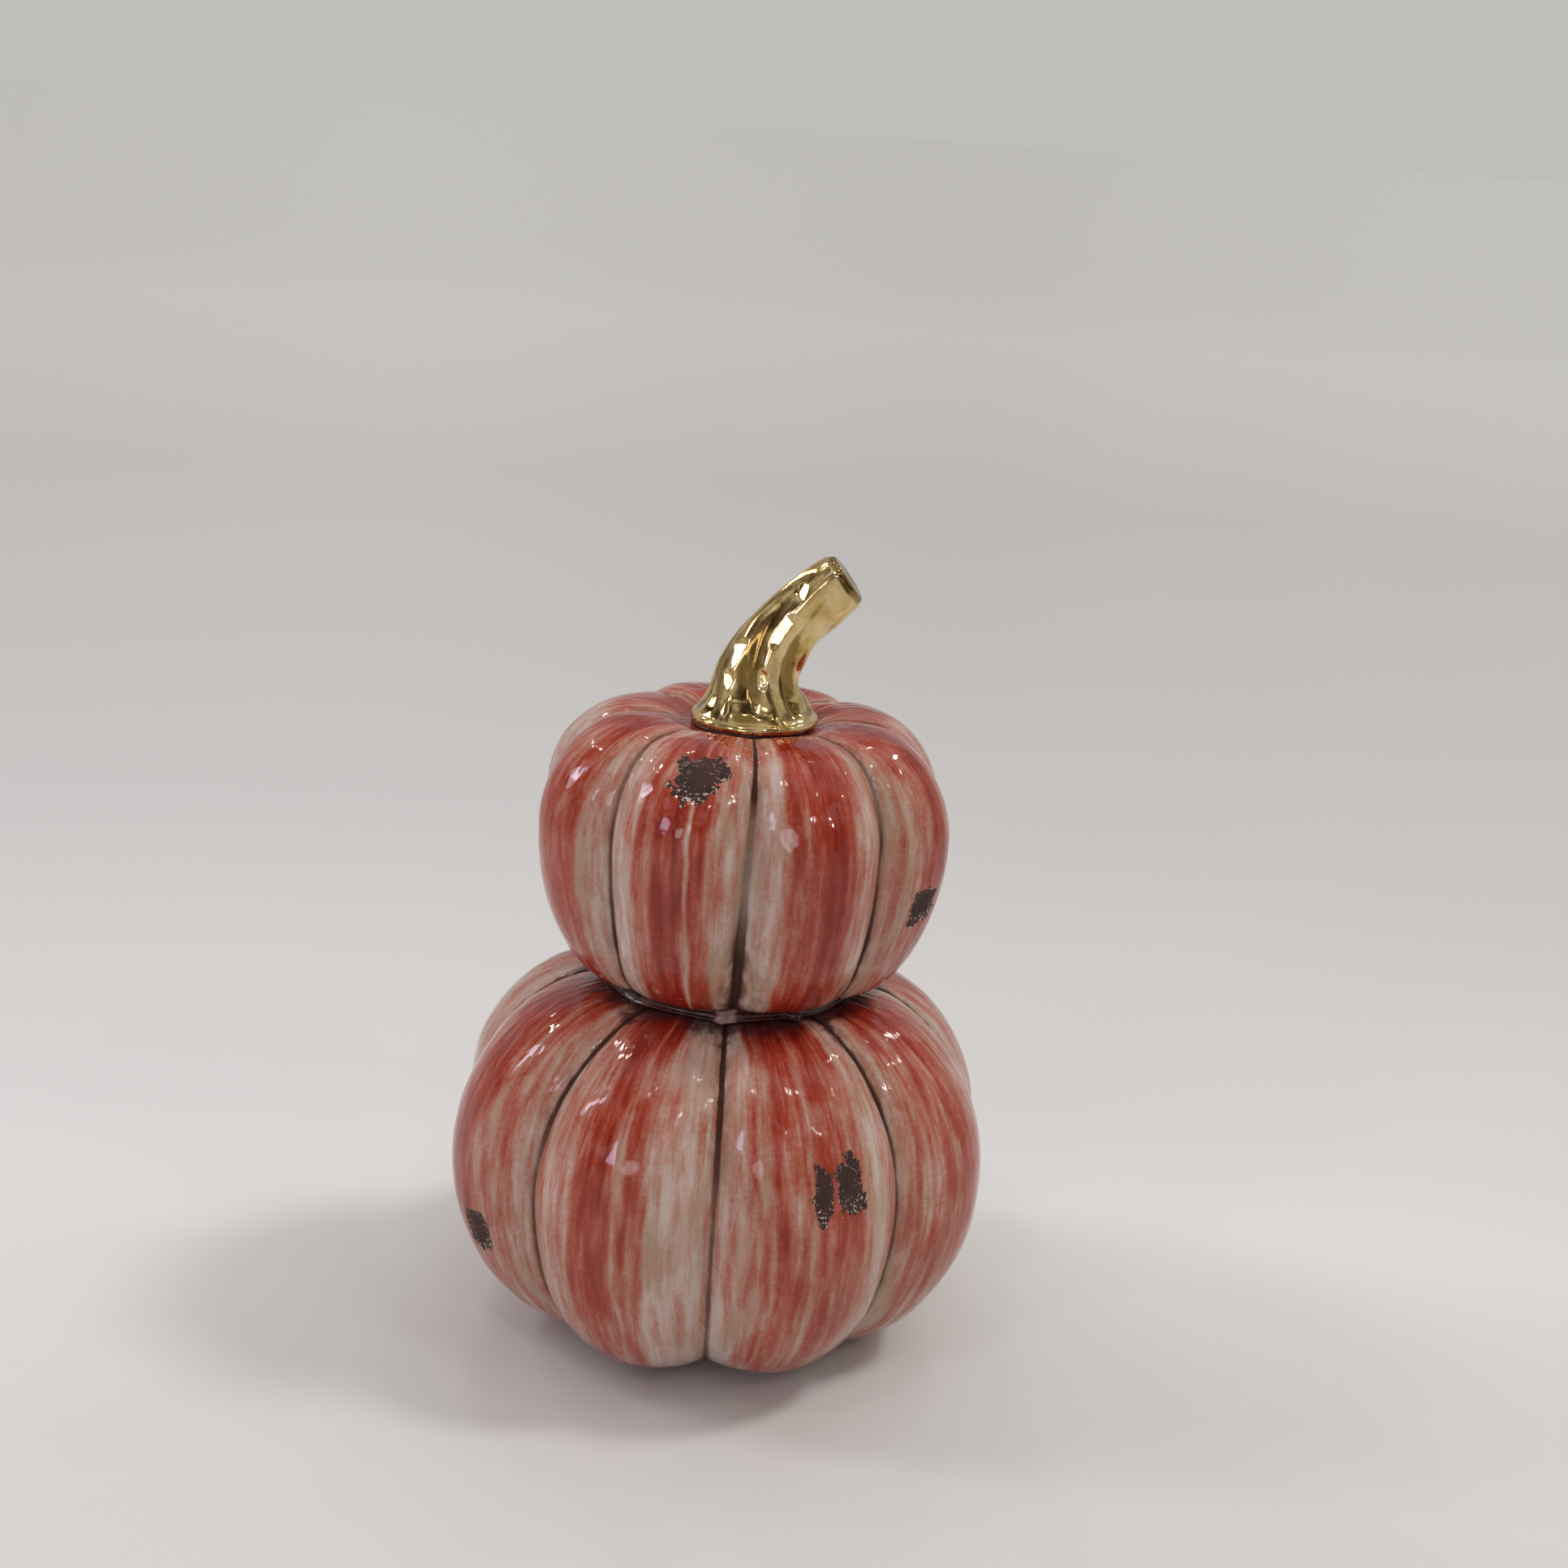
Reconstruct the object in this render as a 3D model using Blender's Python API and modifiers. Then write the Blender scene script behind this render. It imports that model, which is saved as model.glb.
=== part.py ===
"""Stacked ceramic pumpkin figure: two hollow pumpkins of eight lobes each, a leaning gilded stem and four felt pads.

Units are metres, with +Z up. The origin is on the surface that the figure stands on, under the axis of the lower
pumpkin. The front is -Y. An azimuth is counted from the front, towards +X.
"""

from dataclasses import dataclass
from math import acos, atan2, cos, exp, hypot, radians, sin, sqrt, tau

import bmesh
import bpy

COLLECTION = "ceramic_pumpkin_figure"
TOUCH_GAP = 0.0003  # between faces that touch on the real object

# Lobes of both pumpkins
LOBES = 8
STEPS_PER_LOBE = 8
LOBE_ARC = 0.55  # radius of one lobe's cross-section arc, as a share of the pumpkin's radius
PROFILE_STEP = radians(13)
DIMPLE_ANGLE = radians(112)  # how far past the top, or the bottom, a lobe curls into the dimple


@dataclass(frozen=True)
class Pumpkin:
    """The outer skin of a pumpkin: two quarter ellipses from the equator, bulging out of a flat ring at each end."""

    radius: float
    equator: float
    top_height: float
    top_ring: float
    bottom_height: float
    bottom_ring: float
    groove_depth: float  # how much nearer the axis the equator is in a groove, as a share of the radius
    top_sink: float  # how much lower a groove runs at the top, as a share of the height
    bottom_sink: float
    wall: float

    def crest(self, angle):
        """Radius and height of the skin at a lobe's crest. The angle is 0 at the equator and 90 degrees on top."""
        ring = self.top_ring if angle > 0 else self.bottom_ring
        height = self.top_height if angle > 0 else self.bottom_height
        return ring + (self.radius - ring) * cos(angle), self.equator + height * sin(angle)

    def angle_at(self, radius, side):
        """The crest's angle where its skin is at this radius: side 1 is the top half and -1 the bottom half."""
        ring = self.top_ring if side > 0 else self.bottom_ring
        return side * acos((radius - ring) / (self.radius - ring))


LOWER = Pumpkin(
    radius=0.0640,
    equator=0.0445,
    top_height=0.0396,
    top_ring=0.0285,
    bottom_height=0.0440,
    bottom_ring=0.0301,
    groove_depth=0.114,
    top_sink=0.020,
    bottom_sink=0.060,
    wall=0.0042,
)
UPPER = Pumpkin(
    radius=0.0482,
    equator=0.1234,
    top_height=0.0234,
    top_ring=0.0257,
    bottom_height=0.0379,
    bottom_ring=0.0290,
    groove_depth=0.145,
    top_sink=0.053,
    bottom_sink=0.020,
    wall=0.0038,
)
UPPER_X = 0.0011  # the upper pumpkin was set down slightly to the right
UPPER_TURN = radians(2.1)

# Openings of the lower pumpkin
SEAT_RADIUS = 0.0176  # hole in its top, which takes the upper pumpkin's collar
DRAIN_RADIUS = 0.0085
DRAIN_Z = 0.0046
FOOT_Z = 0.0015  # the lobes are ground flat here, so that the pads lie flat under them

# Openings and collar of the upper pumpkin
COLLAR_RADIUS = 0.0160
COLLAR_TOP_Z = 0.0895
COLLAR_BOTTOM_Z = 0.0745
DIMPLE_FLOOR_RADIUS = 0.0152
DIMPLE_FLOOR_Z = 0.1439
PEG_HOLE_RADIUS = 0.0073

# Slip that joins the pumpkins
SLIP_INNER_RADIUS = 0.0185
SLIP_OUTER_RADIUS = 0.0330
SLIP_POINTS = 5
SLIP_STEPS = 48

# Stem
STEM_X = 0.0022
STEM_BASE_Z = 0.14515
PEG_RADIUS = 0.0058
PEG_LENGTH = 0.0075
FLANGE_RADIUS = 0.0147
FLANGE_RIM = 0.0014
STEM_LENGTH = 0.0402
STEM_SWELL = 0.0056  # how much thicker the stem is above its flange than towards its end
STEM_END_RADIUS = 0.0065
END_ROUNDING = 0.0018
STEM_BEND_START = 0.0062
STEM_MAX_LEAN = radians(60)
STEM_BEND_LENGTH = 0.0160
STEM_ROWS = 16
BEND_STEPS = 160  # pieces that the stem's centre line is summed from
FLARE_LENGTH = 0.0035
SWELL_LENGTH = 0.0200
FLUTES = 6
FLUTE_DEPTH = 0.07  # as a share of the stem's radius
FLUTE_TWIST = radians(70)

# Adhesive under the flange
ADHESIVE_INNER_RADIUS = 0.0082
ADHESIVE_OUTER_RADIUS = 0.0132

# Felt pads
PAD_RADIUS = 0.0055
PAD_THICKNESS = FOOT_Z - TOUCH_GAP
PAD_BEVEL = 0.0002
PAD_STEPS = 24
PAD_AZIMUTHS = {"pad_front": 22.5, "pad_right": 112.5, "pad_back": 202.5, "pad_left": 292.5}


def clear_scene():
    """Removes every object of the scene."""
    for thing in list(bpy.data.objects):
        bpy.data.objects.remove(thing, do_unlink=True)


def make_collection(name):
    """A new collection, linked to the scene."""
    collection = bpy.data.collections.new(name)
    bpy.context.scene.collection.children.link(collection)
    return collection


def make_material(name, color, roughness, metallic=0.0, coat=0.0):
    """A Principled material."""
    material = bpy.data.materials.new(name)
    material.use_nodes = True
    shader = material.node_tree.nodes["Principled BSDF"]
    shader.inputs["Base Color"].default_value = (*color, 1.0)
    shader.inputs["Roughness"].default_value = roughness
    shader.inputs["Metallic"].default_value = metallic
    shader.inputs["Coat Weight"].default_value = coat
    material.diffuse_color = (*color, 1.0)
    return material


def add_object(collection, name, solid, material):
    """Turns a bmesh into a named, smooth-shaded object of the collection."""
    mesh = bpy.data.meshes.new(name)
    solid.to_mesh(mesh)
    solid.free()
    mesh.shade_smooth()
    mesh.set_sharp_from_angle(angle=radians(40))
    mesh.materials.append(material)
    thing = bpy.data.objects.new(name, mesh)
    collection.objects.link(thing)
    return thing


def turn(profile, steps, closed):
    """Turns (radius, height) points round Z. The profile runs down its outer side, which then faces out."""
    solid = bmesh.new()
    corners = [solid.verts.new((radius, 0.0, height)) for radius, height in profile]
    ends = corners[1:] + corners[:1] if closed else corners[1:]
    edges = [solid.edges.new(pair) for pair in zip(corners, ends)]
    bmesh.ops.spin(solid, geom=corners + edges, axis=(0, 0, 1), cent=(0, 0, 0), angle=tau, steps=steps)
    bmesh.ops.remove_doubles(solid, verts=solid.verts[:], dist=1e-6)
    return solid


def face_out(solid):
    """Makes all faces look the way that the one furthest from the Z axis does when it looks away from the axis."""
    bmesh.ops.recalc_face_normals(solid, faces=solid.faces[:])
    furthest = max(solid.faces, key=lambda face: face.calc_center_median().xy.length)
    if furthest.calc_center_median().xy.dot(furthest.normal.xy) < 0:
        bmesh.ops.reverse_faces(solid, faces=solid.faces[:])


def lobe_reach(turned):
    """Distance of one lobe's arc from the pumpkin's axis, at an angle from the lobe's crest, with 1 at the crest."""
    offset = 1 - LOBE_ARC
    return offset * cos(turned) + sqrt(LOBE_ARC**2 - (offset * sin(turned)) ** 2)


def groove_weight(azimuth):
    """0 at a lobe's crest and 1 in a groove. There is a groove at azimuth 0."""
    lobe = tau / LOBES
    return (1 - lobe_reach(azimuth % lobe - lobe / 2)) / (1 - lobe_reach(lobe / 2))


def press_lobes(solid, pumpkin, inner_top, inner_bottom):
    """Presses the grooves into a turned pumpkin. They run out at the inner radii, where the skin stays round."""
    for corner in solid.verts:
        radius = hypot(corner.co.x, corner.co.y)
        above = corner.co.z > pumpkin.equator
        ring = pumpkin.top_ring if above else pumpkin.bottom_ring
        inner = inner_top if above else inner_bottom
        sink = pumpkin.top_sink if above else pumpkin.bottom_sink
        weight = groove_weight(atan2(corner.co.x, -corner.co.y))
        weight *= min(max((radius - inner) / (ring - inner), 0.0), 1.0)
        bulge = max((radius - ring) / (pumpkin.radius - ring), 0.0)
        pressed = radius - pumpkin.radius * pumpkin.groove_depth * weight * bulge
        corner.co.x *= pressed / radius
        corner.co.y *= pressed / radius
        corner.co.z -= (corner.co.z - pumpkin.equator) * sink * weight


def skin_profile(pumpkin, first_angle, last_angle):
    """Crest points from the first angle down to the last."""
    count = round((first_angle - last_angle) / PROFILE_STEP)
    return [pumpkin.crest(first_angle + (last_angle - first_angle) * i / count) for i in range(count + 1)]


def thicken(thing, wall):
    """Gives an open skin its wall, on the inside."""
    shell = thing.modifiers.new("wall", "SOLIDIFY")
    shell.thickness = wall
    shell.offset = -1
    shell.use_even_offset = True


def make_lower_pumpkin(collection, material):
    """The large pumpkin: a shell with a seat hole in its top and a drain hole in its recessed base."""
    profile = skin_profile(LOWER, LOWER.angle_at(SEAT_RADIUS, 1), -DIMPLE_ANGLE)
    recess_radius = (profile[-1][0] + DRAIN_RADIUS) / 2
    profile += [(recess_radius, DRAIN_Z), (DRAIN_RADIUS, DRAIN_Z)]
    skin = turn(profile, LOBES * STEPS_PER_LOBE, closed=False)
    press_lobes(skin, LOWER, SEAT_RADIUS, recess_radius)
    for corner in skin.verts:
        corner.co.z = max(corner.co.z, FOOT_Z)
    face_out(skin)
    thing = add_object(collection, "lower_pumpkin", skin, material)
    thicken(thing, LOWER.wall)


def make_upper_pumpkin(collection, material):
    """The small pumpkin: a shell with a peg hole in its dimple, and a collar that reaches into the lower one."""
    floor = [(PEG_HOLE_RADIUS, DIMPLE_FLOOR_Z), (DIMPLE_FLOOR_RADIUS, DIMPLE_FLOOR_Z)]
    collar = [(COLLAR_RADIUS, COLLAR_TOP_Z), (COLLAR_RADIUS, COLLAR_BOTTOM_Z)]
    profile = floor + skin_profile(UPPER, DIMPLE_ANGLE, -DIMPLE_ANGLE) + collar
    skin = turn(profile, LOBES * STEPS_PER_LOBE, closed=False)
    press_lobes(skin, UPPER, DIMPLE_FLOOR_RADIUS, COLLAR_RADIUS)
    face_out(skin)
    thing = add_object(collection, "upper_pumpkin", skin, material)
    thing.location.x = UPPER_X
    thing.rotation_euler.z = UPPER_TURN
    thicken(thing, UPPER.wall)


def underside_z(radius):
    """Lowest height of the upper pumpkin at a distance from the lower pumpkin's axis, which is UPPER_X from its own."""
    lowest_at = min(max(UPPER.bottom_ring, radius - UPPER_X), radius + UPPER_X)
    return UPPER.crest(max(UPPER.angle_at(lowest_at, -1), -DIMPLE_ANGLE))[1]


def make_joint_slip(collection, material):
    """The ring of slip squeezed between the pumpkins, which fills the gap between their crests."""
    under, over = [], []
    for i in range(SLIP_POINTS):
        radius = SLIP_INNER_RADIUS + (SLIP_OUTER_RADIUS - SLIP_INNER_RADIUS) * i / (SLIP_POINTS - 1)
        under.append((radius, LOWER.crest(LOWER.angle_at(radius, 1))[1] + TOUCH_GAP))
        over.append((radius, underside_z(radius) - TOUCH_GAP))
    ring = turn(over + under[::-1], SLIP_STEPS, closed=True)
    face_out(ring)
    add_object(collection, "joint_slip", ring, material)


def stem_radius(along):
    """Radius of the stem at a distance along its centre line: a flange that flares into a slowly thinning stalk."""
    flare = (FLANGE_RADIUS - STEM_END_RADIUS - STEM_SWELL) * exp(-along / FLARE_LENGTH)
    return STEM_END_RADIUS + STEM_SWELL * exp(-((along / SWELL_LENGTH) ** 1.3)) + flare


def stem_profile():
    """(radius, height) points of the straight stem, from the centre of its end down to the end of its peg."""
    shoulder = STEM_LENGTH - END_ROUNDING
    points = [(0.0, STEM_LENGTH)]
    for angle in (30, 60):
        points.append((STEM_END_RADIUS * sin(radians(angle)) ** 0.6, shoulder + END_ROUNDING * cos(radians(angle))))
    for i in range(STEM_ROWS):
        along = shoulder + (FLANGE_RIM - shoulder) * i / (STEM_ROWS - 1)
        points.append((stem_radius(along), along))
    rim = stem_radius(FLANGE_RIM)
    points += [(rim + FLANGE_RIM * 0.45, FLANGE_RIM * 0.5), (rim, 0.0)]
    return points + [(PEG_RADIUS, 0.0), (PEG_RADIUS, -PEG_LENGTH), (0.0, -PEG_LENGTH)]


def flute_and_bend(solid):
    """Presses twisting flutes into the straight stem, and then leans it over to +X."""
    line = [(0.0, 0.0)]
    step = STEM_LENGTH / BEND_STEPS
    for i in range(BEND_STEPS):
        lean = stem_lean(i * step)
        line.append((line[-1][0] + step * sin(lean), line[-1][1] + step * cos(lean)))
    for corner in solid.verts:
        along = corner.co.z
        if along <= 0:
            continue
        share = min(along / FLANGE_RIM / 4, 1.0)
        azimuth = atan2(corner.co.y, corner.co.x) + FLUTE_TWIST * along / STEM_LENGTH
        scale = 1 + FLUTE_DEPTH * share * (cos(FLUTES * azimuth) - 1) / 2
        across, depth = corner.co.x * scale, corner.co.y * scale
        lean = stem_lean(along)
        x, z = line[min(round(along / step), len(line) - 1)]
        corner.co = (x + across * cos(lean), depth, z - across * sin(lean))


def stem_lean(along):
    """How far the stem leans from upright at a distance along its centre line."""
    return STEM_MAX_LEAN * (1 - exp(-max(along - STEM_BEND_START, 0.0) / STEM_BEND_LENGTH))


def make_stem(collection, material):
    """The leaning, fluted stem, with a flange that lies in the dimple and a peg below it."""
    solid = turn(stem_profile(), FLUTES * 6, closed=False)
    flute_and_bend(solid)
    bmesh.ops.recalc_face_normals(solid, faces=solid.faces[:])
    thing = add_object(collection, "stem", solid, material)
    thing.location = (STEM_X, 0.0, STEM_BASE_Z)


def make_stem_adhesive(collection, material):
    """The washer of adhesive between the stem's flange and the floor of the dimple."""
    low = DIMPLE_FLOOR_Z + TOUCH_GAP
    high = STEM_BASE_Z - TOUCH_GAP
    inner, outer = ADHESIVE_INNER_RADIUS, ADHESIVE_OUTER_RADIUS
    bulge = (outer + (high - low) / 2, (low + high) / 2)
    washer = turn([(inner, high), (outer, high), bulge, (outer, low), (inner, low)], PAD_STEPS, closed=True)
    face_out(washer)
    thing = add_object(collection, "stem_adhesive", washer, material)
    thing.location.x = STEM_X


def make_pads(collection, material):
    """Four felt discs under the flattened lobes."""
    for name, azimuth in PAD_AZIMUTHS.items():
        disc = bmesh.new()
        bmesh.ops.create_cone(
            disc,
            cap_ends=True,
            segments=PAD_STEPS,
            radius1=PAD_RADIUS,
            radius2=PAD_RADIUS,
            depth=PAD_THICKNESS,
        )
        thing = add_object(collection, name, disc, material)
        turned = radians(azimuth)
        ring = LOWER.bottom_ring
        thing.location = (ring * sin(turned), -ring * cos(turned), PAD_THICKNESS / 2)
        bevel = thing.modifiers.new("soft edge", "BEVEL")
        bevel.width = PAD_BEVEL
        bevel.segments = 1
        bevel.limit_method = "ANGLE"


def build():
    """Builds the whole figure."""
    clear_scene()
    figure = make_collection(COLLECTION)
    make_lower_pumpkin(figure, make_material("lower_glaze", (0.46, 0.17, 0.13), 0.12, coat=1.0))
    make_upper_pumpkin(figure, make_material("upper_glaze", (0.48, 0.18, 0.14), 0.12, coat=1.0))
    make_joint_slip(figure, make_material("dark_slip", (0.07, 0.025, 0.025), 0.25, coat=0.6))
    make_stem(figure, make_material("gold_lustre", (0.83, 0.62, 0.24), 0.10, metallic=1.0))
    make_stem_adhesive(figure, make_material("adhesive", (0.10, 0.05, 0.04), 0.4))
    make_pads(figure, make_material("felt", (0.33, 0.31, 0.29), 0.95))


build()
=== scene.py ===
"""Look of the ceramic pumpkin figure: brushed and glazed skins, pooled slip, a gilded stem and felt pads.

Units are metres, in the frame of the CAD model. The front is -Y, and azimuths run from the front towards +X.
"""

from dataclasses import dataclass
from functools import reduce
from math import acos, cos, pi, radians, sin, sqrt, tau

import bmesh
import bpy
import numpy as np
from mathutils import Matrix, Vector


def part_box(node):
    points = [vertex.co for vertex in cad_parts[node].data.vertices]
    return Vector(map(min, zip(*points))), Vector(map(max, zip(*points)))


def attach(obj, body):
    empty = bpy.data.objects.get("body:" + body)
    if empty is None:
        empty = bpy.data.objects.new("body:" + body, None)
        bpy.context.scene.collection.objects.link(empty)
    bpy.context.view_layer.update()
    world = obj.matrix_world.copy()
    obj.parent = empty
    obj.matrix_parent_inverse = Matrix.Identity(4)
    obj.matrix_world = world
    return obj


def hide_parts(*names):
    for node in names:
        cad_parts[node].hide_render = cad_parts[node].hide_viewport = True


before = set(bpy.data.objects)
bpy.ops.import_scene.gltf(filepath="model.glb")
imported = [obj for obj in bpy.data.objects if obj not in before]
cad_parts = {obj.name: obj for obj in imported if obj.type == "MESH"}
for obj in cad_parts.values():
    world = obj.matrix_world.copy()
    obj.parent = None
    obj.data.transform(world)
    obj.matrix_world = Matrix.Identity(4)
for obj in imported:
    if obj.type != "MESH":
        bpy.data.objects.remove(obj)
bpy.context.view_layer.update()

MM = 0.001
LOBES = 8
LOBE_ARC = 0.55
DIMPLE_ANGLE = radians(112)


@dataclass(frozen=True)
class Chip:
    """A worn spot where the dark body shows through the glaze."""

    azimuth: float  # degrees
    angle: float  # degrees above the equator
    across: float  # half width, in degrees of azimuth
    along: float  # half height, in degrees
    seed: float


@dataclass(frozen=True)
class Pumpkin:
    """The outer skin of a pumpkin: two quarter ellipses from the equator, out of a flat ring at each end."""

    radius: float
    equator: float  # height of the widest level
    top_height: float
    top_ring: float
    bottom_height: float
    bottom_ring: float
    groove_depth: float  # share of the radius
    top_sink: float  # how far the grooves sink at the top, as a share of the height
    bottom_sink: float
    wall: float
    inner_top: float  # radii where the grooves have died away
    inner_bottom: float
    x: float  # of the axis
    turn: float  # radians
    foot: float  # lowest height of the skin
    chips: tuple

    def crest(self, angle):
        """Radius and height of the skin at a lobe's crest."""
        above = angle > 0
        ring = np.where(above, self.top_ring, self.bottom_ring)
        height = np.where(above, self.top_height, self.bottom_height)
        return ring + (self.radius - ring) * np.cos(angle), self.equator + height * np.sin(angle)

    def angle_at(self, radius, side):
        """The crest's angle where its skin is at this radius."""
        ring = self.top_ring if side > 0 else self.bottom_ring
        return side * acos((radius - ring) / (self.radius - ring))

    def press(self, radius, z, azimuth):
        """Pressed radius and height of a crest point, at an azimuth of the pumpkin's own."""
        above = z > self.equator
        ring = np.where(above, self.top_ring, self.bottom_ring)
        inner = np.where(above, self.inner_top, self.inner_bottom)
        sink = np.where(above, self.top_sink, self.bottom_sink)
        weight = groove_weight(azimuth) * np.clip((radius - inner) / (ring - inner), 0, 1)
        bulge = np.maximum((radius - ring) / (self.radius - ring), 0)
        pressed = radius - self.radius * self.groove_depth * weight * bulge
        return pressed, np.maximum(z - (z - self.equator) * sink * weight, self.foot)

    def height_at(self, x, y, side):
        """Height of the skin over points (x, y) of the frame, on its top (side 1) or underside (side -1)."""
        ring = self.top_ring if side > 0 else self.bottom_ring
        inner = self.inner_top if side > 0 else self.inner_bottom
        sink = self.top_sink if side > 0 else self.bottom_sink
        height = self.top_height if side > 0 else self.bottom_height
        radius = np.hypot(x - self.x, y)
        groove = groove_weight(np.arctan2(x - self.x, -y) - self.turn)
        reach = self.radius - ring - np.where(radius > ring, self.radius * self.groove_depth * groove, 0)
        angle = side * np.arccos(np.clip((radius - ring) / reach, cos(DIMPLE_ANGLE), 1))
        z = self.equator + height * np.sin(angle)
        weight = groove * np.clip((radius - inner) / (ring - inner), 0, 1)
        return z - (z - self.equator) * sink * weight


LOWER = Pumpkin(
    radius=0.0640,
    equator=0.0445,
    top_height=0.0396,
    top_ring=0.0285,
    bottom_height=0.0440,
    bottom_ring=0.0301,
    groove_depth=0.114,
    top_sink=0.020,
    bottom_sink=0.060,
    wall=0.0042,
    inner_top=0.0176,
    inner_bottom=0.01295,
    x=0.0,
    turn=0.0,
    foot=0.0015,
    chips=(
        Chip(28.5, 20, 3.6, 11, 1.3),
        Chip(22.0, 18, 2.3, 10, 4.1),
        Chip(-60, -19, 4.0, 7.5, 7.7),
        Chip(163, 34, 4.0, 9, 9.2),
    ),
)
UPPER = Pumpkin(
    radius=0.0482,
    equator=0.1234,
    top_height=0.0234,
    top_ring=0.0257,
    bottom_height=0.0379,
    bottom_ring=0.0290,
    groove_depth=0.145,
    top_sink=0.053,
    bottom_sink=0.020,
    wall=0.0038,
    inner_top=0.0152,
    inner_bottom=0.0160,
    x=0.0011,
    turn=radians(2.1),
    foot=0.0,
    chips=(
        Chip(-14.5, 52.5, 8.8, 17.5, 2.6),
        Chip(63, -21, 6.5, 7.5, 5.5),
        Chip(-158, -8, 5.0, 8, 3.1),
    ),
)

# Openings and landings of the skins
SEAT_RADIUS = 0.0176
DRAIN_RADIUS = 0.0085
DRAIN_Z = 0.0046
COLLAR_RADIUS = 0.0160
COLLAR_TOP_Z = 0.0895
COLLAR_BOTTOM_Z = 0.0745
DIMPLE_FLOOR_RADIUS = 0.0152
DIMPLE_FLOOR_Z = 0.1439
PEG_HOLE_RADIUS = 0.0073

# (radius, z) of the rows beyond the ellipses: into the drain hole, over the dimple's floor, down the collar
DRAIN_ROWS = ((0.0152, 0.00415), (0.01295, DRAIN_Z), (0.0107, DRAIN_Z), (DRAIN_RADIUS, DRAIN_Z))
DIMPLE_ROWS = (
    (PEG_HOLE_RADIUS, DIMPLE_FLOOR_Z),
    (0.0112, DIMPLE_FLOOR_Z),
    (0.0141, DIMPLE_FLOOR_Z),
    (DIMPLE_FLOOR_RADIUS, DIMPLE_FLOOR_Z + 0.00008),
    (0.0160, 0.14430),
)
COLLAR_ROWS = (
    (0.0200, 0.08875),
    (0.0180, 0.08915),
    (COLLAR_RADIUS, COLLAR_TOP_Z - 0.0006),
    (COLLAR_RADIUS, 0.0840),
    (COLLAR_RADIUS, 0.0790),
    (COLLAR_RADIUS, COLLAR_BOTTOM_Z),
)

# Skin meshes
COLUMNS = 48  # in one lobe
CROWDING = 0.7  # how much closer together the columns are in the grooves
ROW_ANGLE = radians(1.22)
INNER_COLUMN = 6  # outer columns to one of the inner skin
INNER_ROW = 4  # outer rows to one of the inner skin

# Hand-made detail of the skins: its depths under the plain skin, and its lengths or widths
SKIN_INSET = 0.14 * MM
LUMP = 0.45 * MM
LUMP_LENGTH = 0.031
RIPPLE = 0.05 * MM
RIPPLE_LENGTH = 0.0085
GROOVE_CUT = 0.30 * MM
GROOVE_CUT_WIDTH = 0.38 * MM
CHIP_DEPTH = 0.28 * MM

# Joint slip
SLIP_COLUMNS = 360
SLIP_INNER_RADIUS = 0.0187
SLIP_EDGE = (0.0285, 0.0372)  # radii between which its edge lies
SLIP_SINK = 0.12 * MM  # how far it reaches into both skins
SLIP_HOLLOW = 0.75 * MM  # how far its edge curves in

# Stem, as in the CAD
STEM_X = 0.0022
STEM_BASE_Z = 0.14515
PEG_RADIUS = 0.0058
PEG_LENGTH = 0.0075
FLANGE_RADIUS = 0.0147
FLANGE_RIM = 0.0014
STEM_LENGTH = 0.0402
STEM_SWELL = 0.0056
STEM_END_RADIUS = 0.0065
END_ROUNDING = 0.0018
STEM_BEND_START = 0.0062
STEM_MAX_LEAN = radians(60)
STEM_BEND_LENGTH = 0.0160
FLARE_LENGTH = 0.0035
SWELL_LENGTH = 0.0200
FLUTES = 6
FLUTE_DEPTH = 0.07
FLUTE_TWIST = radians(70)

# Stem, in the visual model only
FLANGE_DROP = 0.0006  # how far the flange sinks into its adhesive
DISH_SHARE = 0.80  # of the end's radius
DISH_DEPTH = 0.00045
DENT = 0.034  # depths as shares of the stem's radius
SMALL_DENT = 0.0034
FURROW = 0.035
PIT = 0.010
STEM_COLUMNS = 168
STEM_ROWS = 190
BEND_STEPS = 400

# Adhesive bead
BEAD_X = 0.00185
BEAD_RADIUS = 0.01340
BEAD_WOBBLE = 0.00014
BEAD_INNER_RADIUS = 0.0082
BEAD_COLUMNS = 180

# Felt pads
PAD_EDGE = 0.00032
PAD_FUZZ = 0.00004
PAD_COLUMNS = 72


# ---------------------------------------------------------------- shapes


def lobe_reach(turned):
    """Distance of a lobe's arc from the axis at an angle from the lobe's crest, where it is 1."""
    offset = 1 - LOBE_ARC
    return offset * np.cos(turned) + np.sqrt(LOBE_ARC**2 - (offset * np.sin(turned)) ** 2)


def groove_weight(azimuth):
    """0 at a lobe's crest and 1 in a groove. There is a groove at azimuth 0."""
    lobe = tau / LOBES
    return (1 - lobe_reach(azimuth % lobe - lobe / 2)) / (1 - lobe_reach(lobe / 2))


def waves(places, length, seed, count=14):
    """Smooth noise of about this wavelength at places (n, 3), mostly between -1 and 1."""
    source = np.random.default_rng(seed)
    ways = source.normal(size=(count, 3))
    ways /= np.linalg.norm(ways, axis=1, keepdims=True)
    ways *= tau / length * source.uniform(0.6, 1.5, (count, 1))
    phases = source.uniform(0, tau, count)
    return np.sin(places @ ways.T + phases).sum(axis=-1) / sqrt(count)


def smooth(value, low, high):
    """0 up to low, 1 from high on, and a smooth step between."""
    share = np.clip((value - low) / (high - low), 0, 1)
    return share * share * (3 - 2 * share)


def bell(value, width, power=2):
    """1 at 0, and falling smoothly to nothing beyond the width."""
    return np.exp(-((value / width) ** power))


def band(value, low, full, fading, high):
    """1 from full to fading, and 0 below low and above high."""
    return smooth(value, low, full) * (1 - smooth(value, fading, high))


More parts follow.
